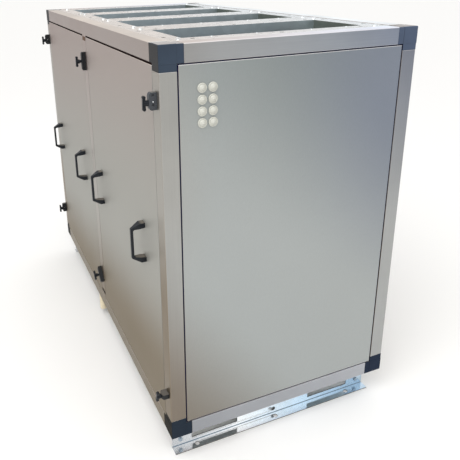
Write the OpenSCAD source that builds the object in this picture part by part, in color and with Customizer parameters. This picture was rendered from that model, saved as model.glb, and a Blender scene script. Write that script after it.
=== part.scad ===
// Air handling unit: framed casing with two lift-off doors, four duct openings on top and two base rails.
// Millimetres. +Z up, floor at Z = 0, cable entries face -Y, doors face -X.

/* [Casing] */
// Width of the casing across its end panel
casing_w = 825; // [600:5:1200]
// Length of the casing along its door side
casing_l = 1650; // [1000:10:2400]
// Height of the casing above its base rails
casing_h = 1240; // [800:10:1600]
// Side of the square frame profile
profile = 50; // [40:1:60]
// Chamfer along the outer edge of each profile
edge_chamfer = 2; // [0.5:0.5:4]
// Length of each arm of a corner piece
corner_arm = 70; // [60:1:120]
// Step from a corner piece's body down to its arms
arm_step = 0.6; // [0.2:0.1:1.5]
// Width of the seam round panels and doors
seam = 4; // [1:0.5:5]
// Depth of that seam
seam_depth = 12; // [4:1:30]
// Width of the gap above a door, left for lifting it off
door_head = 7; // [1:0.5:12]

/* [Top frames] */
// Depth of the frames below the top of the rails
frame_drop = 1.5; // [0:0.5:8]
// Duct opening across the casing
opening_w = 600; // [300:10:640]
// Duct opening along the casing
opening_l = 250; // [150:5:320]
// Diameter of the fixing holes
frame_hole_d = 13; // [8:0.5:16]
// Depth of the fixing holes
frame_hole_depth = 25; // [10:1:40]
// Inset of the side holes from the frames' edge
side_hole_inset = 24; // [12:1:32]
// Distance of the first side hole from the casing's front end
side_hole_first = 156; // [80:1:200]
// Spacing of the side holes along the casing
side_hole_pitch = 214; // [100:1:260]
// Number of side holes on each side
side_hole_count = 7; // [2:1:10]
// Spacing of the three holes on a frame's end
end_hole_pitch = 278; // [100:1:300]
// Inset of the end holes from the frame's edge
end_hole_inset = 45; // [15:1:52]

/* [Base rails] */
// Height of the base rails
base_h = 104; // [60:1:200]
// Length of a base rail across the casing
base_l = 780; // [500:5:900]
// Sheet thickness of the base rails
base_sheet = 3; // [2:0.5:5]
// Width of the flange on the floor
base_flange = 32; // [28:1:60]
// Setback of the rail's web from the end of the casing
base_setback = 65; // [40:1:120]
// Distance of the lifting slots' inner ends from the middle
slot_in = 145; // [80:1:200]
// Distance of the lifting slots' outer ends from the middle
slot_out = 317; // [220:1:360]
// Height of the slots' lower edge above the floor
slot_low = 18; // [10:1:40]
// Height of the slots' upper edge above the floor
slot_high = 84; // [50:1:95]
// Diameter of the holes in flange and web
base_hole_d = 16; // [10:0.5:20]
// Distance of the outer flange holes from the middle
base_hole_x = 305; // [200:1:360]
// Distance of the flange holes from the web
base_hole_inset = 17; // [12:1:30]
// Height of the hole in the web above the floor
web_hole_z = 20; // [12:1:50]

/* [Doors] */
// Reach of a handle from its door
handle_reach = 45; // [35:1:70]
// Length of a handle at its feet
handle_l = 133; // [100:1:180]
// Length of a handle at its grip
grip_l = 104; // [80:1:160]
// Thickness of the grip
grip_t = 8; // [6:1:16]
// Width of a handle's foot
foot_w = 26; // [16:1:40]
// Height of a handle's foot
foot_h = 16; // [10:1:24]
// Depth of a handle's foot before it slants to the grip
foot_depth = 16; // [8:1:24]
// Width of the grip
grip_w = 10; // [7:0.5:18]
// Bevel along a handle's outer edges
grip_bevel = 3; // [1:0.5:4]
// Bevel in the handle's inner corners
inner_bevel = 4; // [1:0.5:8]
// Distance of each door's front handle from the door's front edge
front_handle_inset = 136; // [60:1:240]
// Distance of each door's rear handle from the door's rear edge
rear_handle_inset = 107; // [60:1:240]

/* [Clamps] */
// Height of the lower clamps above the casing's bottom
clamp_low = 164; // [110:1:260]
// Distance of the upper clamps from the casing's top
clamp_high = 148; // [110:1:260]
// Length of a corner clamp
clamp_h = 47; // [40:1:80]
// Rise of a corner clamp's middle above its shaft
clamp_rise = 4.5; // [0:0.5:8]
// Length of the lower front clamp, a short one
short_h = 28; // [26:1:40]
// Depth of a corner clamp
clamp_t = 22; // [14:1:26]
// Width of a corner clamp
clamp_w = 16; // [14:1:30]
// Clearance between a clamp and the casing
clamp_gap = 0.5; // [0.3:0.1:0.9]
// Depth of the pockets in a corner clamp's sides
pocket_depth = 3; // [1:0.5:3.5]
// Height of those pockets
pocket_h = 5.5; // [3:0.5:7]
// Width of those pockets
pocket_w = 6; // [3:0.5:8]
// Distance of the upper pockets from the clamp's middle
pocket_up = 16; // [8:0.5:18]
// Distance of the lower pockets from the clamp's middle
pocket_down = 9.5; // [8:0.5:18]
// Length of a middle clamp
bar_h = 69; // [50:1:90]
// Depth of a middle clamp
bar_t = 16; // [8:1:20]
// Width of a middle clamp
bar_w = 16; // [14:1:30]
// Length of the rounding at a clamp's ends
clamp_round = 12; // [4:0.5:12]
// Depth of that rounding on a corner clamp
clamp_bulge = 7; // [2:0.5:12]
// Depth of that rounding on a middle clamp
bar_bulge = 4; // [1:0.5:8]
// Tilt of the lower middle clamp, which stands slack
bar_tilt = 45; // [0:1:60]
// Turn of the lower front knob, which stands slack
knob_slack = 15; // [0:1:60]
// Diameter of the knob's shaft
shaft_d = 8; // [6:0.5:9]
// Radial clearance of the shaft in its clamp
shaft_gap = 0.05; // [0.01:0.01:0.1]
// Height of the knob across its wings
knob_h = 40; // [28:1:52]
// Thickness of the knob's wings
wing_t = 9; // [6:1:12]
// Thickness of the web between the knob's hub and wings
web_t = 8; // [4:0.5:9]
// Diameter of the knob's hub
hub_d = 16; // [12:1:22]
// Diameter of the knob's neck
neck_d = 11; // [9:0.5:14]
// Reach of the knob from the casing
knob_reach = 38; // [34:1:44]
// Clearance between knob and corner clamp
knob_gap = 1; // [0.5:0.5:4]

/* [Cable entries and drain] */
// Diameter of a cable entry
gland_d = 27; // [18:1:40]
// Reach of a cable entry from the end panel
gland_reach = 9; // [7:0.5:30]
// Thickness of a cable entry's rim
gland_rim = 4; // [2:0.5:6]
// Diameter of the cone inside that rim
gland_cone_d = 20; // [12:1:36]
// Diameter of the cone's tip
gland_tip_d = 6; // [3:0.5:12]
// Spacing of the cable entries
gland_pitch = 31.4; // [24:0.1:50]
// Distance of the entries' first column from the casing's left side
gland_x = 118; // [80:1:300]
// Distance of the entries' top row from the casing's top
gland_z = 117.5; // [90:0.5:300]
// Outer diameter of the drain stub
drain_d = 32; // [16:1:40]
// Inner diameter of the drain stub
drain_bore = 26; // [10:1:34]
// Length of the drain stub below the casing
drain_l = 76; // [30:1:100]
// Distance of the drain stub from the casing's front end
drain_y = 932; // [200:1:1500]

/* [Hidden] */
$fn = 48;
x_l = -casing_w / 2 + handle_reach / 2;
x_r = x_l + casing_w;
x_m = (x_l + x_r) / 2;
y_f = -casing_l / 2 + gland_reach / 2;
y_b = y_f + casing_l;
y_m = (y_f + y_b) / 2;
z_b = base_h;
z_t = base_h + casing_h;
z_m = (z_b + z_t) / 2;
frame_top = z_t - frame_drop;
frame_l = (casing_l - 2 * profile) / 4;
frame_w = casing_w - 2 * profile;
door_l = (casing_l - 3 * profile) / 2;
panel_h = casing_h - 2 * profile;
clamp_ys = [y_f + profile / 2, y_m, y_b - profile / 2];
clamp_zs = [z_b + clamp_low, z_t - clamp_high];
clamp_turns = [90, -bar_tilt, 0, 0, 0, 0];
knob_turns = [knob_slack, -bar_tilt, 0, 0, 0, 0];
round_step = 18;
door_ys = [y_f + profile, y_m + profile / 2];
sheet_grey = "#a3a39d";
profile_grey = "#b4afa8";
zinc = "#c9d3da";
corner_blue = "#3f4754";
black = "#26282a";
cream = "#e4e2d8";

// Piece to show

// Box between two opposite corners.
module block(low, high) {
    translate(low)
        cube(high - low);
}

// Square profile section with its outer corner, at the origin, chamfered.
module profile_section() {
    polygon([[edge_chamfer, 0], [profile, 0], [profile, profile], [0, profile], [0, edge_chamfer]]);
}

// Upright corner post; side and end are 0 or 1 for left or right, front or rear.
module post(side, end) {
    color(profile_grey)
        translate([side ? x_r : x_l, end ? y_b : y_f, z_b + corner_arm])
            mirror([side, 0, 0])
                mirror([0, end, 0])
                    linear_extrude(casing_h - 2 * corner_arm)
                        profile_section();
}

// Upright between the two doors or the two fixed panels.
module mid_post(side) {
    x = side ? x_r - profile : x_l;
    color(profile_grey)
        block([x, y_m - profile / 2, z_b + profile], [x + profile, y_m + profile / 2, z_t - profile]);
}

// Rail along the casing's end, across its width; upper and end are 0 or 1.
module end_rail(upper, end) {
    color(profile_grey)
        translate([x_l + corner_arm, end ? y_b : y_f, upper ? z_t : z_b])
            mirror([0, end, 0])
                mirror([0, 0, upper])
                    rotate([90, 0, 90])
                        linear_extrude(casing_w - 2 * corner_arm)
                            profile_section();
}

// Rail along the casing's side; upper and side are 0 or 1.
module side_rail(upper, side) {
    color(profile_grey)
        translate([side ? x_r : x_l, y_b - corner_arm, upper ? z_t : z_b])
            mirror([side, 0, 0])
                mirror([0, 0, upper])
                    rotate([90, 0, 0])
                        linear_extrude(casing_l - 2 * corner_arm)
                            profile_section();
}

// Moulded three-way corner with its outer corner at the origin.
module corner() {
    difference() {
        union() {
            cube(profile);
            block([0, arm_step, arm_step], [corner_arm, profile, profile]);
            block([arm_step, 0, arm_step], [profile, corner_arm, profile]);
            block([arm_step, arm_step, 0], [profile, profile, corner_arm]);
        }
        edge_cut();
        rotate([0, 0, 90])
            mirror([0, 1, 0])
                edge_cut();
        rotate([0, -90, 0])
            mirror([0, 0, 1])
                rotate([0, 180, 0])
                    edge_cut();
    }
}

// Prism that chamfers the corner's edge along X.
module edge_cut() {
    translate([-1, 0, 0])
        rotate([90, 0, 90])
            linear_extrude(corner_arm + 2)
                polygon([[-1, -1], [edge_chamfer + 1, -1], [-1, edge_chamfer + 1]]);
}

// The four corner pieces at the top or at the bottom.
module corners(upper) {
    color(corner_blue)
        for (side = [0, 1], end = [0, 1])
            translate([side ? x_r : x_l, end ? y_b : y_f, upper ? z_t : z_b])
                mirror([side, 0, 0])
                    mirror([0, end, 0])
                        mirror([0, 0, upper])
                            corner();
}

// Insulated slab of length l and height h, outer face at x = 0, with a seam round that face.
// The seam is head wide above it.
module slab(l, h, head) {
    translate([seam_depth, 0, 0])
        cube([profile - seam_depth, l, h]);
    translate([0, seam, seam])
        cube([seam_depth + 0.1, l - 2 * seam, h - seam - head]);
}

// End panel between two posts; end is 0 or 1.
module end_panel(end) {
    color(sheet_grey)
        translate([x_l + profile, end ? y_b : y_f, z_b + profile])
            mirror([0, end, 0])
                mirror([1, -1, 0])
                    slab(frame_w, panel_h, seam);
}

// Fixed panel of the right side; bay is 0 or 1.
module right_panel(bay) {
    color(sheet_grey)
        translate([x_r, door_ys[bay], z_b + profile])
            mirror([1, 0, 0])
                slab(door_l, panel_h, seam);
}

// Lift-off door; bay is 0 or 1.
module door(bay) {
    color(sheet_grey)
        translate([x_l, door_ys[bay], z_b + profile])
            slab(door_l, panel_h, door_head);
}

// Insulated floor between the bottom rails.
module floor_panel() {
    color(zinc)
        block([x_l + profile, y_f + profile, z_b], [x_r - profile, y_b - profile, z_b + profile]);
}

// Bridge handle whose feet stand on the plane x = 0, reaching to -X.
module handle() {
    h = handle_l / 2;
    g = grip_l / 2;
    outer = -handle_reach;
    inner = grip_t - handle_reach;
    gap = h - foot_h - inner_bevel;
    intersection() {
        rotate([90, 0, 0])
            linear_extrude(foot_w, center = true)
                polygon([[0, h], [-foot_depth, h], [outer + grip_bevel, g], [outer, g - grip_bevel],
                         [outer, grip_bevel - g], [outer + grip_bevel, -g], [-foot_depth, -h], [0, -h],
                         [0, foot_h - h], [inner + inner_bevel, -gap], [inner, inner_bevel - gap],
                         [inner, gap - inner_bevel], [inner + inner_bevel, gap], [0, h - foot_h]]);
        linear_extrude(handle_l, center = true)
            polygon([[0, -foot_w / 2], [0, foot_w / 2], [-foot_depth, foot_w / 2],
                     [inner, grip_w / 2 + grip_bevel / 2], [outer, grip_w / 2],
                     [outer, -grip_w / 2], [inner, -grip_w / 2 - grip_bevel / 2],
                     [-foot_depth, -foot_w / 2]]);
    }
}

// The two handles of a door; bay is 0 or 1.
module handles(bay) {
    color(black)
        for (y = [front_handle_inset, door_l - rear_handle_inset])
            translate([x_l, door_ys[bay] + y, z_m])
                handle();
}

// Lever of length l, depth t and width w on the plane x = 0, its ends rounded by a bulge of depth r.
module lever(l, t, w, r) {
    straight = l / 2 - clamp_round;
    arc = [for (a = [90 : -round_step : 0]) [r - t - r * cos(a), straight + clamp_round * sin(a)]];
    back = [for (k = [len(arc) - 1 : -1 : 0]) [arc[k][0], -arc[k][1]]];
    rotate([90, 0, 0])
        linear_extrude(w, center = true)
            polygon(concat([[0, -l / 2], [0, l / 2]], arc, back));
}

// Corner clamp with two pockets in each side.
module corner_lever() {
    difference() {
        lever(clamp_h, clamp_t, clamp_w, clamp_bulge);
        for (side = [-1, 1], z = [-pocket_down, pocket_up])
            translate([-clamp_t / 2, side * clamp_w / 2, z])
                cube([pocket_w, 2 * pocket_depth, pocket_h], center = true);
    }
}

// Place of clamp and knob number n: on the near, middle or far post, first the lower row.
module at_post(n) {
    translate([x_l - clamp_gap, clamp_ys[(n - 1) % 3], clamp_zs[floor((n - 1) / 3)]])
        children();
}

// Clamp number n, bored for the shaft on which it swivels.
module clamp(n) {
    color(black)
        at_post(n)
            rotate([clamp_turns[n - 1], 0, 0])
                difference() {
                    if (n == 1)
                        lever(short_h, clamp_t, clamp_w, clamp_bulge);
                    else if (n % 3 == 2)
                        lever(bar_h, bar_t, bar_w, bar_bulge);
                    else
                        translate([0, 0, clamp_rise])
                            corner_lever();
                    rotate([0, 90, 0])
                        cylinder(d = shaft_d + 2 * shaft_gap, h = 3 * (clamp_t + bar_t), center = true);
                }
}

// Wing knob number n with the shaft that turns in its clamp.
module knob(n) {
    wing_x = wing_t / 2 - knob_reach;
    neck = (n % 3 == 2 ? bar_t : clamp_t) + knob_gap;
    hub = clamp_t + knob_gap;
    color(black)
        at_post(n)
            rotate([knob_turns[n - 1], 0, 0]) {
                rotate([0, -90, 0]) {
                    cylinder(d = shaft_d, h = knob_reach - wing_t / 2);
                    translate([0, 0, neck])
                        cylinder(d = neck_d, h = knob_reach - wing_t / 2 - neck);
                    translate([0, 0, hub])
                        cylinder(d = hub_d, h = knob_reach - wing_t / 4 - hub);
                }
                for (z = [-1, 1])
                    translate([wing_x, 0, z * (knob_h - wing_t) / 2])
                        rotate([90, 0, 0])
                            cylinder(d = wing_t, h = wing_t, center = true);
                translate([wing_x, 0, 0])
                    cube([web_t, web_t, knob_h - wing_t], center = true);
            }
}

// Eight closed cable entries in two columns on the end panel.
module cable_glands() {
    color(cream)
        for (col = [0, 1], row = [0 : 3])
            translate([x_l + gland_x + col * gland_pitch, y_f, z_t - gland_z - row * gland_pitch])
                rotate([90, 0, 0]) {
                    cylinder(d = gland_d, h = gland_rim);
                    cylinder(d1 = gland_cone_d, d2 = gland_tip_d, h = gland_reach);
                }
}

// Insulated frame number n round one duct opening, with its fixing holes.
module top_frame(n) {
    y = y_f + profile + (n - 0.5) * frame_l;
    side_x = frame_w / 2 - side_hole_inset;
    color(zinc)
        difference() {
            block([x_m - frame_w / 2, y - frame_l / 2, z_t - profile],
                  [x_m + frame_w / 2, y + frame_l / 2, frame_top]);
            block([x_m - opening_w / 2, y - opening_l / 2, z_t - 2 * profile],
                  [x_m + opening_w / 2, y + opening_l / 2, z_t + profile]);
            for (x = [-side_x, side_x], k = [0 : side_hole_count - 1])
                frame_hole(x, y_f + side_hole_first + k * side_hole_pitch);
            for (x = [-end_hole_pitch, 0, end_hole_pitch], end = [-1, 1])
                frame_hole(x, y + end * (frame_l / 2 - end_hole_inset));
        }
}

// Blind fixing hole from the top, x measured from the casing's middle.
module frame_hole(x, y) {
    translate([x_m + x, y, frame_top - frame_hole_depth])
        cylinder(d = frame_hole_d, h = frame_hole_depth + 1);
}

// Folded base rail across one end, with two lifting slots; end is 0 or 1.
module base_rail(end) {
    color(zinc)
        translate([x_m, end ? y_b - base_setback : y_f + base_setback, 0])
            mirror([0, end, 0])
                difference() {
                    union() {
                        block([-base_l / 2, 0, 0], [base_l / 2, base_sheet, base_h]);
                        block([-base_l / 2, -base_flange, 0], [base_l / 2, base_sheet, base_sheet]);
                        block([-base_l / 2, -base_flange, base_h - base_sheet],
                              [base_l / 2, base_sheet, base_h]);
                    }
                    for (sx = [-1, 1])
                        block([sx < 0 ? -slot_out : slot_in, -1, slot_low],
                              [sx < 0 ? -slot_in : slot_out, base_sheet + 1, slot_high]);
                    for (x = [-base_hole_x, 0, base_hole_x])
                        translate([x, -base_hole_inset, -1])
                            cylinder(d = base_hole_d, h = base_sheet + 2);
                    translate([0, -1, web_hole_z])
                        rotate([-90, 0, 0])
                            cylinder(d = base_hole_d, h = base_sheet + 2);
                }
}

// Short open pipe below the left bottom rail.
module drain_stub() {
    color(cream)
        translate([x_l + drain_d / 2 + 1, y_f + drain_y, z_b - drain_l])
            difference() {
                cylinder(d = drain_d, h = drain_l);
                translate([0, 0, -1])
                    cylinder(d = drain_bore, h = drain_l - 3);
            }
}

post(0, 0);  // post_front_left
post(1, 0);  // post_front_right
post(0, 1);  // post_rear_left
post(1, 1);  // post_rear_right
mid_post(0);  // mid_post_left
mid_post(1);  // mid_post_right
end_rail(1, 0);  // top_rail_front
end_rail(1, 1);  // top_rail_rear
side_rail(1, 0);  // top_rail_left
side_rail(1, 1);  // top_rail_right
end_rail(0, 0);  // bottom_rail_front
end_rail(0, 1);  // bottom_rail_rear
side_rail(0, 0);  // bottom_rail_left
side_rail(0, 1);  // bottom_rail_right
corners(1);  // top_corners
corners(0);  // bottom_corners
end_panel(0);  // front_panel
end_panel(1);  // rear_panel
right_panel(0);  // right_panel_front
right_panel(1);  // right_panel_rear
floor_panel();
door(0);  // door_front
door(1);  // door_rear
handles(0);  // door_front_handles
handles(1);  // door_rear_handles
clamp(1);  // clamp_1
clamp(2);  // clamp_2
clamp(3);  // clamp_3
clamp(4);  // clamp_4
clamp(5);  // clamp_5
clamp(6);  // clamp_6
knob(1);  // knob_1
knob(2);  // knob_2
knob(3);  // knob_3
knob(4);  // knob_4
knob(5);  // knob_5
knob(6);  // knob_6
cable_glands();
top_frame(1);  // top_frame_1
top_frame(2);  // top_frame_2
top_frame(3);  // top_frame_3
top_frame(4);  // top_frame_4
base_rail(0);  // base_rail_front
base_rail(1);  // base_rail_rear
drain_stub();
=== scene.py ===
import math

import bmesh
import bpy
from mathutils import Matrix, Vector


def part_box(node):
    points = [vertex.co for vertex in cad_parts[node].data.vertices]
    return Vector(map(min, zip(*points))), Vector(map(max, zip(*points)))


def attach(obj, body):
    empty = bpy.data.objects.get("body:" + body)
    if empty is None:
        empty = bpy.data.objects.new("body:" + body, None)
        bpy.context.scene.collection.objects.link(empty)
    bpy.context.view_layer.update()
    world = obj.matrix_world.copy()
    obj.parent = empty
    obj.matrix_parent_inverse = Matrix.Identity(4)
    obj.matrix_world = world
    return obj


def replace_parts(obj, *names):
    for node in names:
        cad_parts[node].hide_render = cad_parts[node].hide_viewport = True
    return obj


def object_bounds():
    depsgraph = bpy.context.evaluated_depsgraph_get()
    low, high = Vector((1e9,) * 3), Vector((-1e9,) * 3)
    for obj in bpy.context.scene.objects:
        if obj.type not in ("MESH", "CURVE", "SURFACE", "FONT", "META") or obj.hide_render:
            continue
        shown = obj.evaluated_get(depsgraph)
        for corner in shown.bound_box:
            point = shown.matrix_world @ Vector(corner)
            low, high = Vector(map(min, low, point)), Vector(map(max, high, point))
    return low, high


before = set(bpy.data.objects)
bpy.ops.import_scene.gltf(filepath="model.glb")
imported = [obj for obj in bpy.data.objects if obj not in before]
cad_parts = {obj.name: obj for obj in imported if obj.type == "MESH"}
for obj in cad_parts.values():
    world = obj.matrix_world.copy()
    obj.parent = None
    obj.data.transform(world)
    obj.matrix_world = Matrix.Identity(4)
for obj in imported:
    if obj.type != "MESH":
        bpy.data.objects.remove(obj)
cad_low, cad_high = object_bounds()
scene = bpy.context.scene

# Camera at the viewing angle of the photograph, near the corner between the doors and
# the end panel, a little above the top of the casing.
view_data = bpy.data.cameras.new("view")
view_data.sensor_width = 36.0
view_data.lens = 43.4977
view_data.shift_x = 0.101731
view_data.shift_y = -0.141797
view_camera = bpy.data.objects.new("view", view_data)
view_camera.location = (-0.854896, -2.123343, 1.514296)
view_camera.rotation_euler = [math.radians(turn) for turn in (70.74677, 1.30643, -22.42042)]
scene.collection.objects.link(view_camera)
scene.camera = view_camera

# Frame of the casing: square posts and rails of extruded aluminium, left in their satin
# mill finish. Die lines run along each length. Painted light lies over the whole casing:
# painted shade, painted reflections and painted edge highlights that change slowly across it.
CASING = "casing"
CORNER_POSTS = ["post_front_left", "post_front_right", "post_rear_left", "post_rear_right"]
MID_POSTS = ["mid_post_left", "mid_post_right"]
SIDE_RAILS = ["top_rail_left", "top_rail_right", "bottom_rail_left", "bottom_rail_right"]
TOP_END_RAILS = ["top_rail_front", "top_rail_rear"]
BOTTOM_END_RAILS = ["bottom_rail_front", "bottom_rail_rear"]
DIE_LINES_FINE = 900.0
DIE_LINES_LONG = 6.0
# Painted light for each set of profiles: lift, floor reflection, retreat, left tint, right tint. Lift and
# floor reflection raise the foot of the painted side and end tones, retreat narrows the painted shade, and
# the tints, also painted light, run from left to right.
CORNER_POST_PAINTED_LIGHT = (0.28, 0.05, 0.24, (1.0, 0.972, 0.965), (1.0, 0.965, 0.965))
MID_POST_PAINTED_LIGHT = (0.0, 0.05, 0.24, (1.01, 0.965, 0.965), (1.01, 0.965, 0.965))
SIDE_RAIL_PAINTED_LIGHT = (0.0, 0.0, 0.0, (1.0, 1.0, 1.0), (1.0, 1.0, 1.0))
TOP_RAIL_PAINTED_LIGHT = (0.0, -0.5, 0.40, (0.915, 0.865, 0.855), (0.975, 1.010, 1.155))
BOTTOM_RAIL_PAINTED_LIGHT = (0.0, -0.5, 0.30, (0.806, 0.790, 0.857), (1.114, 1.090, 1.183))
CASING_X = (-0.390, 0.435)
CASING_Z = (0.104, 1.344)
# End walls: base colour, with a cool painted shade over the upper right.
END_WALL = "a5a9a8"
END_SHADE_LEFT = "848b8b"
END_SHADE_RIGHT = "7e8591"
END_SHADE_FADE = (0.3, 0.9)
END_COOL_LEAN = 0.54
END_COOL_FADE = (0.70, 1.32)
# Painted reflection of a brown floor, low on the left of the end walls.
END_FLOOR_REFLECTION = "7f776c"
END_FLOOR_REFLECTION_LEAN = 0.85
END_FLOOR_REFLECTION_FADE = (0.58, 0.04)
# Warm painted reflection over the upper left of the end walls.
END_WARMTH = (0.98, 0.945, 0.915, 1.0)
END_WARM_ACROSS = (0.22, 0.0)
END_WARM_UP = (0.35, 0.70)
# Side walls: painted reflection, brown from the floor at the foot and pinkish at the head.
SIDE_FOOT = "746854"
SIDE_MIDDLE = "989791"
SIDE_HEAD = "9a8c87"
SIDE_LEAN = 0.12
SIDE_FOOT_FADE = (0.21, 0.58)
SIDE_HEAD_FADE = (0.70, 1.45)
# Top faces: painted light, warm on the left and blue-white on the right.
TOP_FACE_LEFT = "d2c6bb"
TOP_FACE_RIGHT = "f2f7fa"
# Rounded edges: painted highlight, with its share on each pair of facings.
BRIGHT_EDGE = "dddcd8"
EDGE_SHARES = (("X", "Y", 0.08), ("X", "Z", 0.10), ("Y", "Z", 1.0))
PROFILE_EDGE = 0.0010
MERGE = 0.00002
FLAT = math.radians(0.5)
SHARP = math.radians(32)


def tint(code):
    """Linear colour of a six-digit sRGB code."""
    parts = [int(code[i:i + 2], 16) / 255 for i in (0, 2, 4)]
    return [c / 12.92 if c <= 0.04045 else ((c + 0.055) / 1.055) ** 2.4 for c in parts] + [1.0]


def put(tree, kind, inputs=None, **settings):
    """Adds a node, with values or links on its inputs."""
    made = tree.nodes.new(kind)
    for key, value in settings.items():
        setattr(made, key, value)
    for key, value in (inputs or {}).items():
        if isinstance(value, bpy.types.NodeSocket):
            tree.links.new(value, made.inputs[key])
        else:
            made.inputs[key].default_value = value
    return made


def blank(name):
    """New material with its tree, shader and Object coordinates."""
    finish = bpy.data.materials.new(name)
    finish.use_nodes = True
    tree = finish.node_tree
    place = put(tree, "ShaderNodeTexCoord").outputs["Object"]
    return finish, tree, tree.nodes["Principled BSDF"], place


def speckle(tree, place, scale, detail=3.0, stretch=(1, 1, 1)):
    """Noise of a given scale, longer along the axes with a small stretch."""
    mapped = put(tree, "ShaderNodeMapping", {"Vector": place, "Scale": stretch})
    return put(tree, "ShaderNodeTexNoise", {"Vector": mapped.outputs["Vector"], "Scale": scale,
                                            "Detail": detail}).outputs["Fac"]


def spread(tree, value, low, high, to_low, to_high):
    """Maps a value from one range to another, held at the ends."""
    return put(tree, "ShaderNodeMapRange", {"Value": value, "From Min": low, "From Max": high,
                                            "To Min": to_low, "To Max": to_high}).outputs["Result"]


def blend_colours(tree, mode, factor, first, second):
    """Mix of two colours; each may be a colour or a socket."""
    made = put(tree, "ShaderNodeMix", data_type="RGBA", blend_type=mode)
    for index, value in ((0, factor), (6, first), (7, second)):
        if isinstance(value, bpy.types.NodeSocket):
            tree.links.new(value, made.inputs[index])
        else:
            made.inputs[index].default_value = value
    return made.outputs[2]


def casing_painted_light():
    """Node group with the casing's painted shade, painted reflections and painted edge highlights, from
    Object coordinates and facing.
    """
    group = bpy.data.node_groups.new("casing_painted_light", "ShaderNodeTree")
    for name in ("Lift", "Floor reflection", "Retreat"):
        group.interface.new_socket(name, in_out="INPUT", socket_type="NodeSocketFloat")
    group.interface.new_socket("Tone", in_out="OUTPUT", socket_type="NodeSocketColor")
    given = put(group, "NodeGroupInput").outputs
    place = put(group, "ShaderNodeTexCoord").outputs["Object"]
    facing = put(group, "ShaderNodeNewGeometry").outputs["Normal"]
    at = put(group, "ShaderNodeSeparateXYZ", {"Vector": place}).outputs
    face = put(group, "ShaderNodeSeparateXYZ", {"Vector": facing}).outputs
    across = spread(group, at["X"], *CASING_X, 0.0, 1.0)
    up = spread(group, at["Z"], *CASING_Z, 0.0, 1.0)

    def sum_of(first, weight, second, less):
        total = put(group, "ShaderNodeMath", {0: first, 1: weight, 2: second}, operation="MULTIPLY_ADD")
        return put(group, "ShaderNodeMath", {0: total.outputs[0], 1: less}, operation="SUBTRACT").outputs[0]

    def fade(value, start, end):
        made = put(group, "ShaderNodeMapRange", {"Value": value, "From Min": start, "From Max": end},
                   interpolation_type="SMOOTHSTEP")
        return made.outputs["Result"]

    def size_of(value):
        return put(group, "ShaderNodeMath", {0: value}, operation="ABSOLUTE").outputs[0]

    # Cool painted shade over the upper right of the end walls.
    cool = fade(sum_of(across, END_COOL_LEAN, up, given["Retreat"]), *END_COOL_FADE)
    # Painted reflection of a brown floor, low on the left.
    floor_reflection_mask = fade(sum_of(across, END_FLOOR_REFLECTION_LEAN, up, given["Floor reflection"]), *END_FLOOR_REFLECTION_FADE)
    turning = fade(across, *END_SHADE_FADE)
    shade = blend_colours(group, "MIX", turning, tint(END_SHADE_LEFT), tint(END_SHADE_RIGHT))
    end_wall = blend_colours(group, "MIX", cool, tint(END_WALL), shade)
    end_wall = blend_colours(group, "MIX", floor_reflection_mask, end_wall, tint(END_FLOOR_REFLECTION))
    # Warm painted reflection over the upper left.
    warm = put(group, "ShaderNodeMath", {0: fade(across, *END_WARM_ACROSS), 1: fade(up, *END_WARM_UP)},
               operation="MULTIPLY").outputs[0]
    end_wall = blend_colours(group, "MULTIPLY", warm, end_wall, END_WARMTH)
    # Side walls: painted reflection, brown from the floor at the foot and pinkish at the head.
    slant = sum_of(at["Y"], SIDE_LEAN, at["Z"], given["Lift"])
    above_foot = fade(slant, *SIDE_FOOT_FADE)
    side_wall = blend_colours(group, "MIX", above_foot, tint(SIDE_FOOT), tint(SIDE_MIDDLE))
    side_wall = blend_colours(group, "MIX", fade(slant, *SIDE_HEAD_FADE), side_wall, tint(SIDE_HEAD))
    walls = blend_colours(group, "MIX", fade(size_of(face["X"]), 0.3, 0.7), end_wall, side_wall)
    # Top faces: painted light, warm on the left and blue-white on the right.
    level = blend_colours(group, "MIX", across, tint(TOP_FACE_LEFT), tint(TOP_FACE_RIGHT))
    tone = blend_colours(group, "MIX", fade(size_of(face["Z"]), 0.4, 0.9), walls, level)
    # Painted highlight on rounded edges, strongest on edges between end walls and level faces.
    bright = tint(BRIGHT_EDGE)
    for one, other, share in EDGE_SHARES:
        between = put(group, "ShaderNodeMath", {0: face[one], 1: face[other]}, operation="MULTIPLY")
        edge = spread(group, size_of(between.outputs[0]), 0.10, 0.40, 0.0, share)
        tone = blend_colours(group, "MIX", edge, tone, bright)
    put(group, "NodeGroupOutput", {"Tone": tone})
    return group


painted_light_group = casing_painted_light()


def painted_light_tone(tree, lift=0.0, floor_reflection=0.0, retreat=0.0):
    """The casing's painted light: lift and floor reflection raise the foot of the painted side and end tones,
    retreat narrows the painted shade.
    """
    amounts = {"Lift": lift, "Floor reflection": floor_reflection, "Retreat": retreat}
    return put(tree, "ShaderNodeGroup", amounts, node_tree=painted_light_group).outputs["Tone"]


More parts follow.
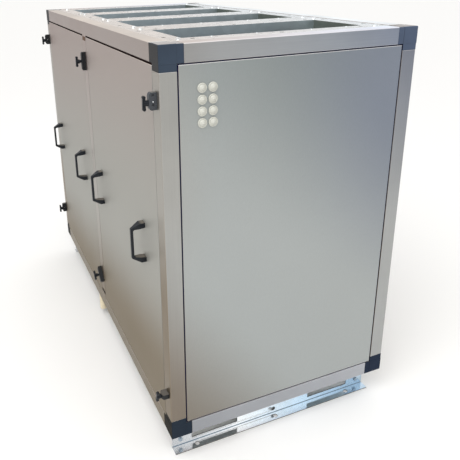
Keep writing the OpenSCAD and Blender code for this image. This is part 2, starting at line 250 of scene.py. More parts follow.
def mill_aluminium(name, stretch, lift, floor_reflection, retreat, left_light_tint, right_light_tint):
    """Satin aluminium over the casing's painted light: die lines along the axis with a small stretch, and a
    painted tint that runs from left to right.
    """
    finish, tree, shader, place = blank(name)
    tone = painted_light_tone(tree, lift, floor_reflection, retreat)
    across = put(tree, "ShaderNodeSeparateXYZ", {"Vector": place}).outputs["X"]
    part = spread(tree, across, cad_low.x, cad_high.x, 0.0, 1.0)
    light_tint = blend_colours(tree, "MIX", part, (*left_light_tint, 1.0), (*right_light_tint, 1.0))
    tone = put(tree, "ShaderNodeVectorMath", {0: tone, 1: light_tint}, operation="MULTIPLY").outputs[0]
    cloud = speckle(tree, place, 5.0, 4.0)
    lines = speckle(tree, place, 1.0, 2.0, stretch)
    patches = spread(tree, cloud, 0.3, 0.7, 0.94, 1.06)
    streaks = spread(tree, lines, 0.3, 0.7, 0.97, 1.03)
    level = put(tree, "ShaderNodeMath", {0: patches, 1: streaks}, operation="MULTIPLY").outputs[0]
    colour = put(tree, "ShaderNodeVectorMath", {0: tone, "Scale": level}, operation="SCALE").outputs[0]
    tree.links.new(colour, shader.inputs["Base Color"])
    tree.links.new(spread(tree, cloud, 0.3, 0.7, 0.34, 0.44), shader.inputs["Roughness"])
    bump = put(tree, "ShaderNodeBump", {"Height": lines, "Strength": 0.06, "Distance": 0.0004})
    tree.links.new(bump.outputs["Normal"], shader.inputs["Normal"])
    shader.inputs["Metallic"].default_value = 0.85
    return finish


def softened(name, nodes, edge, steps, finish, body=CASING, others=()):
    """Merged copy of CAD nodes with rounded edges, in their place; others are (finish, test of a face)."""
    shape = bmesh.new()
    for source in [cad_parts[node].data for node in nodes]:
        corners = [shape.verts.new(vertex.co) for vertex in source.vertices]
        for face in source.polygons:
            shape.faces.new([corners[index] for index in face.vertices])
    bmesh.ops.remove_doubles(shape, verts=shape.verts, dist=MERGE)
    bmesh.ops.dissolve_limit(shape, angle_limit=FLAT, verts=shape.verts, edges=shape.edges)
    shape.normal_update()
    for face in shape.faces:
        face.smooth = True
        for index, (_, test) in enumerate(others, 1):
            if not face.material_index and test(face):
                face.material_index = index
    mesh = bpy.data.meshes.new(name)
    shape.to_mesh(mesh)
    shape.free()
    for each in [finish] + [other for other, _ in others]:
        mesh.materials.append(each)
    piece = bpy.data.objects.new(name, mesh)
    scene.collection.objects.link(piece)
    rounding = piece.modifiers.new("rounding", "BEVEL")
    rounding.width = edge
    rounding.segments = steps
    rounding.limit_method = "ANGLE"
    rounding.angle_limit = SHARP
    rounding.harden_normals = True
    rounding.material = 0
    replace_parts(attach(piece, body), *nodes)
    return piece


fine, long = DIE_LINES_FINE, DIE_LINES_LONG
for names, lines, painted_light_settings in ((CORNER_POSTS, (fine, fine, long), CORNER_POST_PAINTED_LIGHT),
                            (MID_POSTS, (fine, fine, long), MID_POST_PAINTED_LIGHT),
                            (SIDE_RAILS, (fine, long, fine), SIDE_RAIL_PAINTED_LIGHT),
                            (TOP_END_RAILS, (long, fine, fine), TOP_RAIL_PAINTED_LIGHT),
                            (BOTTOM_END_RAILS, (long, fine, fine), BOTTOM_RAIL_PAINTED_LIGHT)):
    profile_metal = mill_aluminium(names[0] + "_aluminium", lines, *painted_light_settings)
    for name in names:
        softened(name + "_profile", [name], PROFILE_EDGE, 2, profile_metal)

# Three-way corner pieces, injection moulded in dark blue-grey plastic with a fine spark
# texture and softened edges; their pegs are pushed into the ends of posts and rails.
CORNER_EDGE = 0.0016
SLIVER = 0.00006
LEVEL_FADE = (0.970, 0.995)
# Per set: colours along X, a painted shade colour on faces across X, a painted light colour on top, and
# gloss.
CORNER_TONES = {"top_corners": ([(0.0, "303b48"), (1.0, "485469")], "131317", "9a9694", 0.18),
                "bottom_corners": ([(0.0, "27303a"), (1.0, "242d3e")], "0f0c06", "55524e", 0.03)}


def graded(tree, place, stops, side, top):
    """Colour that runs along X through stops, with a painted shade colour on faces across X and a painted
    light colour on top.
    """
    facing = put(tree, "ShaderNodeNewGeometry").outputs["Normal"]
    turned = put(tree, "ShaderNodeSeparateXYZ", {"Vector": facing})
    across = put(tree, "ShaderNodeSeparateXYZ", {"Vector": place}).outputs["X"]
    ramp = put(tree, "ShaderNodeValToRGB", {"Fac": spread(tree, across, cad_low.x, cad_high.x, 0.0, 1.0)})
    colours = ramp.color_ramp.elements
    while len(colours) < len(stops):
        colours.new(1.0)
    while len(colours) > len(stops):
        colours.remove(colours[-1])
    for mark, (part, code) in zip(colours, stops):
        mark.position = part
        mark.color = tint(code)
    paint = ramp.outputs["Color"]
    if side:
        sideways = put(tree, "ShaderNodeMath", {0: turned.outputs["X"]}, operation="ABSOLUTE").outputs[0]
        paint = blend_colours(tree, "MIX", sideways, paint, tint(side))
    if top:
        upward = spread(tree, turned.outputs["Z"], *LEVEL_FADE, 0.0, 1.0)
        paint = blend_colours(tree, "MIX", upward, paint, tint(top))
    return paint


def moulded_plastic(name, stops, rough, grain, speck, gloss=0.5, side=None, top=None):
    """Plastic with a fine moulded grain and a slight cloud in colour and gloss; a side colour is painted
    shade and a top colour painted light.
    """
    finish, tree, shader, place = blank(name)
    cloud = speckle(tree, place, 14.0, 4.0)
    spark = speckle(tree, place, grain, 2.0)
    level = spread(tree, cloud, 0.25, 0.75, 1 - speck, 1 + speck)
    paint = graded(tree, place, stops, side, top)
    colour = put(tree, "ShaderNodeVectorMath", {0: paint, "Scale": level}, operation="SCALE")
    tree.links.new(colour.outputs[0], shader.inputs["Base Color"])
    shader.inputs["Specular IOR Level"].default_value = gloss
    tree.links.new(spread(tree, spark, 0.3, 0.7, rough - 0.06, rough + 0.08), shader.inputs["Roughness"])
    bump = put(tree, "ShaderNodeBump", {"Height": spark, "Strength": 0.12, "Distance": 0.0003})
    tree.links.new(bump.outputs["Normal"], shader.inputs["Normal"])
    return finish


for corner_set, (blue, shaded, lit, gloss) in CORNER_TONES.items():
    corner_plastic = moulded_plastic(corner_set + "_plastic", blue, rough=0.46, grain=1500.0, speck=0.10,
                                     gloss=gloss, side=shaded, top=lit)
    corner_piece = softened(corner_set + "_moulded", [corner_set], CORNER_EDGE, 3, corner_plastic)
    closing = corner_piece.modifiers.new("closing", "WELD")
    closing.merge_threshold = SLIVER

# Panels and doors: insulated slabs in satin coated sheet steel. The sheet is folded round
# the slab, so each face ends in a small bright radius beside the seam, partly a painted highlight.
FOLD = 0.0016
SEAM_DEEP = 0.0135
PANELS = ["front_panel", "rear_panel", "right_panel_front", "right_panel_rear", "door_front", "door_rear"]


def satin_sheet():
    """Satin coated sheet over the casing's painted light: slow clouds, fine rolled grain and a broad soft
    gloss.
    """
    finish, tree, shader, place = blank("satin_sheet")
    tone = painted_light_tone(tree)
    cloud = speckle(tree, place, 2.2, 3.0)
    grain = speckle(tree, place, 1.0, 2.0, (700.0, 700.0, 140.0))
    patches = spread(tree, cloud, 0.3, 0.7, 0.97, 1.03)
    rolled = spread(tree, grain, 0.3, 0.7, 0.975, 1.025)
    level = put(tree, "ShaderNodeMath", {0: patches, 1: rolled}, operation="MULTIPLY").outputs[0]
    colour = put(tree, "ShaderNodeVectorMath", {0: tone, "Scale": level}, operation="SCALE").outputs[0]
    tree.links.new(colour, shader.inputs["Base Color"])
    tree.links.new(spread(tree, cloud, 0.3, 0.7, 0.48, 0.56), shader.inputs["Roughness"])
    bump = put(tree, "ShaderNodeBump", {"Height": grain, "Strength": 0.04, "Distance": 0.0003})
    tree.links.new(bump.outputs["Normal"], shader.inputs["Normal"])
    shader.inputs["Metallic"].default_value = 0.5
    return finish


def narrower(limit):
    """Test for a face that is narrower than a limit, such as a seam's wall or a cut edge."""
    def test(face):
        rows = [[vertex.co[axis] for vertex in face.verts] for axis in range(3)]
        return sorted(max(row) - min(row) for row in rows)[1] < limit
    return test


def level_narrower(limit):
    """Test for a narrow face that looks up or down."""
    narrow = narrower(limit)
    return lambda face: abs(face.normal.z) > 0.5 and narrow(face)


sheet_finish = satin_sheet()
# Seam walls and seam floors are dark rubber: partly the gasket edge of each panel, partly painted shade
# inside the seam.
panel_rubber_and_seam_shade = moulded_plastic("panel_seam_rubber_and_shade", [(0.0, "0a1038")], rough=0.75, grain=900.0, speck=0.15,
                              gloss=0.05)
door_rubber_and_seam_shade = moulded_plastic("door_seam_rubber_and_shade", [(0.0, "26100d")], rough=0.75, grain=900.0, speck=0.15,
                              gloss=0.1)
for panel in PANELS:
    seam_walls = (panel_rubber_and_seam_shade, narrower(SEAM_DEEP))
    if panel.startswith("door"):
        seam_walls = (door_rubber_and_seam_shade, level_narrower(SEAM_DEEP))
    softened(panel + "_sheet", [panel], FOLD, 3, sheet_finish, others=(seam_walls,))

# Gaskets: round dark rubber cord on the edge of each panel and door, pressed into the seam
# below the face, so the seam shows as a dark line.
CORD_RADIUS = 0.0012
CORD_SINK = 0.0010
DOOR_CORD_SINK = 0.0018
SEAM_MIDDLE = 0.0028
CORD_BEND = 0.0014
CORD_SIDES = 8


def field(tree, name, kind, default=None):
    """Named input on a Geometry Nodes tree."""
    made = tree.interface.new_socket(name, in_out="INPUT", socket_type="NodeSocket" + kind)
    if default is not None:
        made.default_value = default
    return made


def gasket_tree():
    """Cord swept round a rectangle that stands in the XZ plane, its middle at the origin."""
    tree = bpy.data.node_groups.new("gasket", "GeometryNodeTree")
    tree.interface.new_socket("Geometry", in_out="OUTPUT", socket_type="NodeSocketGeometry")
    field(tree, "Width", "Float", 0.5)
    field(tree, "Height", "Float", 1.0)
    field(tree, "Cord radius", "Float", CORD_RADIUS)
    field(tree, "Bend", "Float", CORD_BEND)
    field(tree, "Turn", "Vector")
    field(tree, "Middle", "Vector")
    field(tree, "Rubber", "Material")
    given = put(tree, "NodeGroupInput").outputs
    outline = put(tree, "GeometryNodeCurvePrimitiveQuadrilateral",
                  {"Width": given["Width"], "Height": given["Height"]}).outputs["Curve"]
    bent = put(tree, "GeometryNodeFilletCurve", {"Curve": outline, "Radius": given["Bend"], "Count": 3},
               mode="POLY").outputs["Curve"]
    section = put(tree, "GeometryNodeCurvePrimitiveCircle",
                  {"Resolution": CORD_SIDES, "Radius": given["Cord radius"]}).outputs["Curve"]
    cord = put(tree, "GeometryNodeCurveToMesh", {"Curve": bent, "Profile Curve": section}).outputs["Mesh"]
    placed = put(tree, "GeometryNodeTransform", {"Geometry": cord, "Translation": given["Middle"],
                                                 "Rotation": given["Turn"]}).outputs["Geometry"]
    whole = put(tree, "GeometryNodeRealizeInstances", {"Geometry": placed}).outputs["Geometry"]
    painted = put(tree, "GeometryNodeSetMaterial", {"Geometry": whole, "Material": given["Rubber"]})
    put(tree, "NodeGroupOutput", {"Geometry": painted.outputs["Geometry"]})
    return tree


def grown(name, mesh, tree, values, body=CASING):
    """Object whose mesh a Geometry Nodes tree makes, kept as a plain mesh."""
    piece = bpy.data.objects.new(name, mesh)
    scene.collection.objects.link(piece)
    rule = piece.modifiers.new("rule", "NODES")
    rule.node_group = tree
    for socket in tree.interface.items_tree:
        if socket.in_out == "INPUT" and socket.name in values:
            rule[socket.identifier] = values[socket.name]
    ready = piece.evaluated_get(bpy.context.evaluated_depsgraph_get())
    made = bpy.data.meshes.new_from_object(ready)
    piece.modifiers.clear()
    piece.data = made
    for face in made.polygons:
        face.use_smooth = True
    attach(piece, body)
    return piece


panel_cord_rubber = moulded_plastic("panel_gasket_rubber", [(0.0, "0a1038")], rough=0.75, grain=900.0,
                                    speck=0.15, gloss=0.1)
door_cord_rubber = moulded_plastic("door_gasket_rubber", [(0.0, "1e0c0c")], rough=0.75, grain=900.0,
                                   speck=0.15, gloss=0.1)
cord_tree = gasket_tree()
OUTWARD = {"front_panel": (0, -1), "rear_panel": (0, 1), "right_panel_front": (1, 0),
           "right_panel_rear": (1, 0), "door_front": (-1, 0), "door_rear": (-1, 0)}
for panel, (out_x, out_y) in OUTWARD.items():
    low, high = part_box(panel)
    middle = (low + high) / 2
    on_door = panel.startswith("door")
    depth = CORD_RADIUS + (DOOR_CORD_SINK if on_door else CORD_SINK)
    middle.x += out_x * ((high.x - low.x) / 2 - depth)
    middle.y += out_y * ((high.y - low.y) / 2 - depth)
    span = high.y - low.y if out_x else high.x - low.x
    across = math.pi / 2 if out_x else 0.0
    grown(panel + "_gasket", bpy.data.meshes.new(panel + "_gasket"), cord_tree,
          {"Width": span - 2 * SEAM_MIDDLE, "Height": high.z - low.z - 2 * SEAM_MIDDLE,
           "Cord radius": CORD_RADIUS, "Bend": CORD_BEND, "Turn": (math.pi / 2, 0.0, across),
           "Middle": middle, "Rubber": door_cord_rubber if on_door else panel_cord_rubber})

# Foam stops: closed-cell foam pads glued to the upright between the doors, a brown one at its
# head and a dark one at its foot, where the cover strip ends short of the rails; the dark one is painted
# shade for that slit.
STOP_SIZE = (0.0012, 0.044, 0.015)
STOP_DROP = 0.0135
FOOT_SHADE_PAD_SIZE = (0.0012, 0.048, 0.012)
FOOT_SHADE_PAD_RISE = 0.028
STOP_EDGE = 0.0004


def pad(name, middle, size, edge, finish):
    """Flat pad with rounded edges, its middle at a point."""
    shape = bmesh.new()
    bmesh.ops.create_cube(shape, size=1.0)
    bmesh.ops.scale(shape, vec=size, verts=shape.verts)
    bmesh.ops.bevel(shape, geom=shape.edges[:], offset=edge, segments=2, profile=0.5, affect="EDGES")
    bmesh.ops.translate(shape, vec=middle, verts=shape.verts)
    for face in shape.faces:
        face.smooth = True
    mesh = bpy.data.meshes.new(name)
    shape.to_mesh(mesh)
    shape.free()
    mesh.materials.append(finish)
    piece = bpy.data.objects.new(name, mesh)
    scene.collection.objects.link(piece)
    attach(piece, CASING)
    return piece


brown_foam = moulded_plastic("brown_foam", [(0.0, "5a4334")], rough=0.85, grain=500.0, speck=0.25)
low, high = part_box("mid_post_left")
middle = (low + high) / 2
pad("foam_stop", (low.x, middle.y, high.z - STOP_DROP), STOP_SIZE, STOP_EDGE, brown_foam)
# The dark foot pad is painted shade: it fills the shaded slit at the foot of the strip.
slit_shade_foam = moulded_plastic("slit_shade_foam", [(0.0, "1c110c")], rough=0.85, grain=500.0, speck=0.25, gloss=0.1)
pad("foot_slit_shade", (low.x, middle.y, low.z + FOOT_SHADE_PAD_RISE), FOOT_SHADE_PAD_SIZE, STOP_EDGE, slit_shade_foam)

# Floor of the casing: an insulated panel between the bottom rails, plain zinc-coated sheet
# inside and below, seen through the duct openings.
SPANGLE_DRIFT = (0.012, 0.012, 0.012)


def zinc_sheet(name, stops, spangle, contrast, rough, metal=0.9, side=None, relief=0.05):
    """Zinc coating: flat crystals that differ slightly in tone and gloss; a side colour is painted shade on
    faces across X.
    """
    finish, tree, shader, place = blank(name)
    wobble = put(tree, "ShaderNodeTexNoise", {"Vector": place, "Scale": spangle * 0.6, "Detail": 2.0})
    bent = put(tree, "ShaderNodeVectorMath", {0: wobble.outputs["Color"], 1: SPANGLE_DRIFT, 2: place},
               operation="MULTIPLY_ADD").outputs[0]
    crystals = put(tree, "ShaderNodeTexVoronoi", {"Vector": bent, "Scale": spangle}).outputs["Color"]
    flake = put(tree, "ShaderNodeSeparateColor", {"Color": crystals}).outputs
    cloud = speckle(tree, place, 6.0, 4.0)
    shine = spread(tree, flake["Red"], 0.0, 1.0, 1 - contrast, 1 + contrast)
    patch = spread(tree, cloud, 0.3, 0.7, 0.93, 1.07)
    level = put(tree, "ShaderNodeMath", {0: shine, 1: patch}, operation="MULTIPLY").outputs[0]
    paint = graded(tree, place, stops, side, None)
    colour = put(tree, "ShaderNodeVectorMath", {0: paint, "Scale": level}, operation="SCALE")
    tree.links.new(colour.outputs[0], shader.inputs["Base Color"])
    tree.links.new(spread(tree, flake["Green"], 0.0, 1.0, rough - 0.06, rough + 0.06),
                   shader.inputs["Roughness"])
    bump = put(tree, "ShaderNodeBump", {"Height": flake["Blue"], "Strength": relief, "Distance": 0.0004})
    tree.links.new(bump.outputs["Normal"], shader.inputs["Normal"])
    shader.inputs["Metallic"].default_value = metal
    return finish


inner_zinc = zinc_sheet("inner_zinc", [(0.0, "b4bdc0")], spangle=90.0, contrast=0.06, rough=0.42)
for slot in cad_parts["floor_panel"].material_slots:
    slot.material = inner_zinc

# Handles: bridge grips moulded in black glass-filled nylon, with rounded edges, screwed to
# the doors from behind.
HANDLE_EDGE = 0.0010
# The top faces of grips and knobs are painted lighter: painted light.
nylon = moulded_plastic("handle_nylon", [(0.0, "0a1018")], rough=0.38, grain=1100.0, speck=0.12, gloss=0.3,
                        top="625c54")
for door in ("door_front", "door_rear"):
    softened(door + "_grips", [door + "_handles"], HANDLE_EDGE, 3, nylon)

# Clamps and wing knobs: moulded nylon clamps that swivel on a stud and press the doors'
# edges, each held by a black wing knob on that stud.
CLAMP_EDGE = 0.0012
KNOB_EDGE = 0.0011
CLAMP_PLACES = ["lower_front", "lower_middle", "lower_rear", "upper_front", "upper_middle", "upper_rear"]
# The clamp at the upper front is a lighter, painted-light copy of the same nylon, and the tops of all clamps
# carry painted light.
lit_clamp_nylon = moulded_plastic("lit_clamp_nylon", [(0.0, "3d4045")], rough=0.48, grain=1100.0, speck=0.12, gloss=0.3,
                             top="6c6a66")
clamp_nylon = moulded_plastic("clamp_nylon", [(0.0, "15171a")], rough=0.48, grain=1100.0, speck=0.12,
                              gloss=0.3, top="5c5853")
for number, place_name in enumerate(CLAMP_PLACES, 1):
    clamp_finish = lit_clamp_nylon if place_name == "upper_front" else clamp_nylon
    softened(f"clamp_{number}_moulded", [f"clamp_{number}"], CLAMP_EDGE, 2, clamp_finish,
             place_name + "_clamp")
    softened(f"knob_{number}_moulded", [f"knob_{number}"], KNOB_EDGE, 2, nylon,
             place_name + "_knob")

# Cable entries: closed cream rubber grommets pushed into the end panel, each a round rim,
# a groove and a soft cone that ends in a small nipple to be cut open for a cable.
ENTRY_PROFILE = [(13.5, 0.0), (13.5, 1.6), (13.3, 2.6), (12.7, 3.5), (11.8, 4.0), (10.9, 3.8), (10.3, 3.2),
                 (9.9, 2.9), (9.5, 3.3), (9.0, 4.1), (8.0, 5.1), (6.5, 6.1), (4.8, 6.9), (3.4, 7.4),
                 (2.6, 7.8), (2.3, 8.4), (1.7, 8.85), (0.9, 9.0)]
ENTRY_SIDES = 28
ENTRY_PITCH = 0.0314
MM = 0.001


def grommet():
    """One cable entry turned about -Y, its back on the plane y = 0."""
    shape = bmesh.new()
    rings = []
    for radius, reach in ENTRY_PROFILE:
        turns = [2 * math.pi * step / ENTRY_SIDES for step in range(ENTRY_SIDES)]
        wide, out = radius * MM, -reach * MM
        rings.append([shape.verts.new((wide * math.cos(turn), out, wide * math.sin(turn))) for turn in turns])
    for inner, outer in zip(rings, rings[1:]):
        for step in range(ENTRY_SIDES):
            after = (step + 1) % ENTRY_SIDES
            shape.faces.new((inner[step], inner[after], outer[after], outer[step]))
    shape.faces.new(rings[0])
    shape.faces.new(rings[-1])
    bmesh.ops.recalc_face_normals(shape, faces=shape.faces)
    mesh = bpy.data.meshes.new("grommet")
    shape.to_mesh(mesh)
    shape.free()
    return mesh


def entry_tree():
    """Copies of the given grommet in two upright columns of four about a middle."""
    tree = bpy.data.node_groups.new("entries", "GeometryNodeTree")
    tree.interface.new_socket("Geometry", in_out="OUTPUT", socket_type="NodeSocketGeometry")
    field(tree, "Geometry", "Geometry")
    field(tree, "Pitch", "Float", ENTRY_PITCH)
    field(tree, "Middle", "Vector")
    field(tree, "Rubber", "Material")
    given = put(tree, "NodeGroupInput").outputs
    rows = put(tree, "ShaderNodeMath", {0: given["Pitch"], 1: 3.0}, operation="MULTIPLY").outputs[0]
    grid = put(tree, "GeometryNodeMeshGrid", {"Size X": given["Pitch"], "Size Y": rows,
                                              "Vertices X": 2, "Vertices Y": 4}).outputs["Mesh"]
    upright = put(tree, "GeometryNodeTransform", {"Geometry": grid, "Rotation": (math.pi / 2, 0.0, 0.0),
                                                  "Translation": given["Middle"]}).outputs["Geometry"]
    copies = put(tree, "GeometryNodeInstanceOnPoints", {"Points": upright, "Instance": given["Geometry"]})
    whole = put(tree, "GeometryNodeRealizeInstances", {"Geometry": copies.outputs["Instances"]})
    painted = put(tree, "GeometryNodeSetMaterial", {"Geometry": whole.outputs["Geometry"],
                                                    "Material": given["Rubber"]})
    put(tree, "NodeGroupOutput", {"Geometry": painted.outputs["Geometry"]})
    return tree


cream_rubber = moulded_plastic("cream_rubber", [(0.0, "bfbfb6")], rough=0.40, grain=700.0, speck=0.03)
low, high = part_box("cable_glands")
entries = grown("cable_entries", grommet(), entry_tree(),
                {"Pitch": ENTRY_PITCH, "Middle": ((low.x + high.x) / 2, high.y, (low.z + high.z) / 2),
                 "Rubber": cream_rubber})
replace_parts(entries, "cable_glands")

# Top frames: insulated frames in bright zinc-coated sheet round the four duct openings,
# folded at the openings' edges and bored for the bolts of the duct flanges.
FRAME_FOLD = 0.001
HOLE_SPAN = 0.014


def upright(face):
    """Test for a wall."""
    return abs(face.normal.z) < 0.5


# The frames' top faces carry a painted reflection, warm on the left and blue-white on the right.
frame_zinc = zinc_sheet("frame_zinc", [(0.0, "e6dad0"), (1.0, "f2f9fd")], spangle=70.0, contrast=0.010,
                        rough=0.30, relief=0.004)
# The opening walls are painted darker and bluer than the frame tops, darker still on walls across X: painted
# shade.
opening_shade_zinc = zinc_sheet("opening_wall_shade_zinc", [(0.0, "bbc8ce")], spangle=60.0, contrast=0.03, rough=0.38,
                       metal=0.8, side="888e85")
# Bore walls painted near black: painted shade inside the bolt holes.
hole_shade_steel = zinc_sheet("hole_shade_steel", [(0.0, "33312e")], spangle=200.0, contrast=0.10, rough=0.55, metal=0.6)
for number in range(1, 5):
    softened(f"top_frame_{number}_sheet", [f"top_frame_{number}"], FRAME_FOLD, 2, frame_zinc,
             others=((hole_shade_steel, narrower(HOLE_SPAN)), (opening_shade_zinc, upright)))

# Bolts: bright zinc-plated hexagon bolts on flat washers, at the corners of each top frame
# and, in a duller coating, through the webs near the ends of the base rails.
WASHER_RADIUS = 0.0080
WASHER_HEIGHT = 0.0012
HEAD_RADIUS = 0.0072
HEAD_HEIGHT = 0.0042
WASHER_TAPER = 0.96
HEAD_SINK = 0.2
HEAD_SIDE = 0.72
CROWN_FOOT = 0.99
CROWN_TOP = 0.78
HEAD_TURN = 0.37
TOP_BOLT_IN = 0.039
TOP_BOLT_END = 0.035
WEB_BOLT_X = 0.360
WEB_BOLT_Z = 0.027
FLANGE = 0.032


def fixing_tree(name, corners, washer_sides):
    """Heads on points: a washer, a head sunk in it and a chamfered crown sunk in that, facing out."""
    tree = bpy.data.node_groups.new(name, "GeometryNodeTree")
    tree.interface.new_socket("Geometry", in_out="OUTPUT", socket_type="NodeSocketGeometry")
    field(tree, "Geometry", "Geometry")
    for size in ("Washer radius", "Washer height", "Head radius", "Head height"):
        field(tree, size, "Float", 0.005)
    field(tree, "Turn", "Vector")
    field(tree, "Metal", "Material")
    given = put(tree, "NodeGroupInput").outputs

    def disc(sides, bottom, top, depth, base):
        cone = put(tree, "GeometryNodeMeshCone", {"Vertices": sides, "Radius Bottom": bottom,
                                                  "Radius Top": top, "Depth": depth}).outputs["Mesh"]
        lift = put(tree, "ShaderNodeCombineXYZ", {"Z": base}).outputs["Vector"]
        return put(tree, "GeometryNodeTransform", {"Geometry": cone, "Translation": lift}).outputs["Geometry"]

    def times(value, factor):
        return put(tree, "ShaderNodeMath", {0: value, 1: factor}, operation="MULTIPLY").outputs[0]

    def plus(value, other):
        return put(tree, "ShaderNodeMath", {0: value, 1: other}, operation="ADD").outputs[0]

    sunk = times(given["Washer height"], 1 - HEAD_SINK)
    overlap = times(given["Washer height"], HEAD_SINK)
    side = times(given["Head height"], HEAD_SIDE)
    bevel = times(given["Head height"], 1 - HEAD_SIDE)
    parts = [disc(washer_sides, given["Washer radius"], times(given["Washer radius"], WASHER_TAPER),
                  given["Washer height"], 0.0),
             disc(corners, given["Head radius"], given["Head radius"], plus(side, overlap), sunk),
             disc(corners, times(given["Head radius"], CROWN_FOOT), times(given["Head radius"], CROWN_TOP),
                  plus(bevel, overlap), plus(sunk, side))]
    joined = tree.nodes.new("GeometryNodeJoinGeometry")
    for part in parts:
        tree.links.new(part, joined.inputs["Geometry"])
    index = put(tree, "GeometryNodeInputIndex").outputs[0]
    about = put(tree, "ShaderNodeCombineXYZ", {"Z": times(index, HEAD_TURN)}).outputs["Vector"]
    spun = put(tree, "FunctionNodeEulerToRotation", {0: about}).outputs[0]
    faced = put(tree, "FunctionNodeEulerToRotation", {0: given["Turn"]}).outputs[0]
    turn = put(tree, "FunctionNodeRotateRotation", {"Rotation": faced, "Rotate By": spun},
               rotation_space="LOCAL").outputs[0]
    heads = put(tree, "GeometryNodeInstanceOnPoints", {"Points": given["Geometry"],
                                                       "Instance": joined.outputs["Geometry"],
                                                       "Rotation": turn}).outputs["Instances"]
    whole = put(tree, "GeometryNodeRealizeInstances", {"Geometry": heads}).outputs["Geometry"]
    painted = put(tree, "GeometryNodeSetMaterial", {"Geometry": whole, "Material": given["Metal"]})
    put(tree, "NodeGroupOutput", {"Geometry": painted.outputs["Geometry"]})
    return tree


def fixings(name, places, tree, turn, sizes, metal, body=CASING):
    """One mesh with a head at each place, flat shaded."""
    points = bpy.data.meshes.new(name)
    points.from_pydata(places, [], [])
    values = dict(sizes)
    values.update({"Turn": turn, "Metal": metal})
    made = grown(name, points, tree, values, body)
    for face in made.data.polygons:
        face.use_smooth = False
    return made


bolt_zinc = zinc_sheet("bolt_zinc", [(0.0, "eef1f2")], spangle=240.0, contrast=0.04, rough=0.24)
web_bolt_zinc = zinc_sheet("web_bolt_zinc", [(0.0, "a9b7c2")], spangle=240.0, contrast=0.06, rough=0.22)
bolt_tree = fixing_tree("hexagon_bolts", 6, 20)
bolt_sizes = {"Washer radius": WASHER_RADIUS, "Washer height": WASHER_HEIGHT,
              "Head radius": HEAD_RADIUS, "Head height": HEAD_HEIGHT}
top_places = []
for number in range(1, 5):
    low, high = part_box(f"top_frame_{number}")
    for x in (low.x + TOP_BOLT_IN, high.x - TOP_BOLT_IN):
        top_places += [(x, low.y + TOP_BOLT_END, high.z), (x, high.y - TOP_BOLT_END, high.z)]
fixings("top_bolts", top_places, bolt_tree, (0.0, 0.0, 0.0), bolt_sizes, bolt_zinc)
for rail, out in (("base_rail_front", -1), ("base_rail_rear", 1)):
    low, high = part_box(rail)
    web = low.y + FLANGE if out < 0 else high.y - FLANGE
    x = (low.x + high.x) / 2
    fixings(rail + "_bolts", [(x - WEB_BOLT_X, web, WEB_BOLT_Z), (x + WEB_BOLT_X, web, WEB_BOLT_Z)],
            bolt_tree, (-out * math.pi / 2, 0.0, 0.0), bolt_sizes, web_bolt_zinc)

# Clamp screws: a small bright pan-head screw on each side of a corner clamp, between its
# pockets; it holds the clamp's two halves together and swivels with it.
# The bright heads are partly a painted highlight: they stand for the spot of light seen through each clamp
# between its pockets.
SCREW_SIZES = {"Washer radius": 0.0017, "Washer height": 0.0004, "Head radius": 0.0014, "Head height": 0.0008}
SCREW_DROP = 0.0010
screw_tree = fixing_tree("clamp_screws", 14, 14)
for number in (3, 4, 6):
    low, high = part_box(f"clamp_{number}")
    middle = (low + high) / 2
    for name, side in (("near", -1), ("far", 1)):
        spot = (middle.x, low.y if side < 0 else high.y, middle.z - SCREW_DROP)
        fixings(f"clamp_{number}_screw_{name}", [spot], screw_tree, (-side * math.pi / 2, 0.0, 0.0),
                SCREW_SIZES, bolt_zinc, CLAMP_PLACES[number - 1] + "_clamp")

# Rivets: small blind rivets in the end strips of each top frame, which hold the folded sheet
# to the frame's core.
RIVET_SIZES = {"Washer radius": 0.0034, "Washer height": 0.0006, "Head radius": 0.0030, "Head height": 0.0012}
RIVET_IN = 0.058
RIVET_X = (-0.215, -0.073, 0.110, 0.235)
rivet_places = []
for number in range(1, 5):
    low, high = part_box(f"top_frame_{number}")
    for x in RIVET_X:
        rivet_places += [((low.x + high.x) / 2 + x, low.y + RIVET_IN, high.z),
                         ((low.x + high.x) / 2 + x, high.y - RIVET_IN, high.z)]
fixings("frame_rivets", rivet_places, screw_tree, (0.0, 0.0, 0.0), RIVET_SIZES, bolt_zinc)

# Base rails: zinc-coated steel sheet folded to a channel, with two lifting slots in the web
# and bolt holes in the floor flange; they carry the casing at both ends.
BASE_FOLD = 0.0011
# Tones along X are a painted reflection, brightest a third of the way along and bluer to the right.
BASE_TONES = [(0.05, "d2d4d6"), (0.36, "fcfeff"), (0.66, "deecf6"), (1.0, "c0d5e6")]
# Painted shade along the inner fold of each base rail.
FOLD_SHADE_GREY = "9eadb9"
FOLD_SHADE = 0.0026
FLANGE_THICK = 0.003
CUT_EDGE = 0.0032


def folded_zinc(name, web):
    """Zinc coating with a painted shade along the inner fold, where the web at y = web meets the flange."""
    finish = zinc_sheet(name, BASE_TONES, spangle=120.0, contrast=0.025, rough=0.17)
    tree = finish.node_tree
    shader = tree.nodes["Principled BSDF"]
    paint = shader.inputs["Base Color"].links[0].from_socket
    place = put(tree, "ShaderNodeTexCoord").outputs["Object"]
    across = put(tree, "ShaderNodeVectorMath", {0: place, 1: (0.0, 1.0, 1.0)}, operation="MULTIPLY")
    gap = put(tree, "ShaderNodeVectorMath", {0: across.outputs[0], 1: (0.0, web, FLANGE_THICK)},
              operation="DISTANCE")
    shade = spread(tree, gap.outputs["Value"], 0.5 * FOLD_SHADE, FOLD_SHADE, 1.0, 0.0)
    tree.links.new(blend_colours(tree, "MIX", shade, paint, tint(FOLD_SHADE_GREY)), shader.inputs["Base Color"])
    return finish


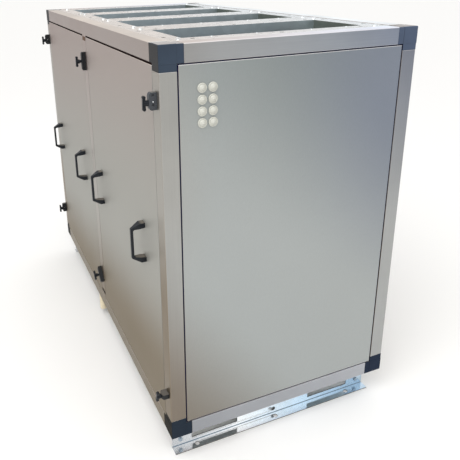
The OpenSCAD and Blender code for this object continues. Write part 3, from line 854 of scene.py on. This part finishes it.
# Cut edges and the walls of holes and slots: bare steel, and painted dark as shade inside the holes and
# slots.
cut_steel_and_shade = zinc_sheet("cut_steel_and_shade", [(0.0, "6b6a66")], spangle=300.0, contrast=0.08, rough=0.45, metal=0.8)
for rail, out in (("base_rail_front", -1), ("base_rail_rear", 1)):
    low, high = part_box(rail)
    base_zinc = folded_zinc(rail + "_zinc", low.y + FLANGE if out < 0 else high.y - FLANGE)
    softened(rail + "_sheet", [rail], BASE_FOLD, 2, base_zinc,
             others=((cut_steel_and_shade, narrower(CUT_EDGE)),))

# Drain stub: short cream plastic pipe, extruded and cut to length, pushed up into the floor
# of the casing; it carries condensate out below the door side.
DRAIN_EDGE = 0.0008
drain_plastic = moulded_plastic("drain_plastic", [(0.0, "e0d3b6")], rough=0.42, grain=800.0, speck=0.04)
softened("drain_pipe", ["drain_stub"], DRAIN_EDGE, 2, drain_plastic)

# Studio: a plain pale floor, a sky that is brighter overhead than at the horizon, and one
# large soft lamp above the front corner.
FLOOR_HALF = 40.0
SKY_RISE = (0.0, 0.7)
SKY_STRENGTH = (0.52, 1.18)
SOFTBOX_SIDE = 2.4
SOFTBOX_PLACE = (-1.6, -1.8, 3.4)
SOFTBOX_AIM = Vector((0.0, -0.2, 0.7))
floor_mesh = bpy.data.meshes.new("studio_floor")
floor_mesh.from_pydata([(-FLOOR_HALF, -FLOOR_HALF, 0), (FLOOR_HALF, -FLOOR_HALF, 0),
                        (FLOOR_HALF, FLOOR_HALF, 0), (-FLOOR_HALF, FLOOR_HALF, 0)], [], [(0, 1, 2, 3)])
studio_floor = bpy.data.objects.new("studio_floor", floor_mesh)
scene.collection.objects.link(studio_floor)
floor_paint, floor_tree, floor_shader, floor_place = blank("floor_paint")
floor_shader.inputs["Base Color"].default_value = tint("f5f4f2")
floor_cloud = speckle(floor_tree, floor_place, 3.0)
floor_tree.links.new(spread(floor_tree, floor_cloud, 0.3, 0.7, 0.75, 0.85), floor_shader.inputs["Roughness"])
floor_mesh.materials.append(floor_paint)

sky = bpy.data.worlds.new("studio_sky")
sky.use_nodes = True
scene.world = sky
sky_tree = sky.node_tree
sky_up = put(sky_tree, "ShaderNodeTexCoord").outputs["Generated"]
sky_height = put(sky_tree, "ShaderNodeSeparateXYZ", {"Vector": sky_up}).outputs["Z"]
sky_light = spread(sky_tree, sky_height, *SKY_RISE, *SKY_STRENGTH)
sky_tree.nodes["Background"].inputs["Color"].default_value = (1.0, 1.0, 1.0, 1.0)
sky_tree.links.new(sky_light, sky_tree.nodes["Background"].inputs["Strength"])

lamp_data = bpy.data.lights.new("softbox", "AREA")
lamp_data.energy = 60.0
lamp_data.shape = "RECTANGLE"
lamp_data.size = SOFTBOX_SIDE
lamp_data.size_y = SOFTBOX_SIDE
softbox = bpy.data.objects.new("softbox", lamp_data)
softbox.location = SOFTBOX_PLACE
aim = SOFTBOX_AIM - softbox.location
softbox.rotation_euler = aim.to_track_quat("-Z", "Y").to_euler()
scene.collection.objects.link(softbox)

scene.view_settings.view_transform = "Standard"
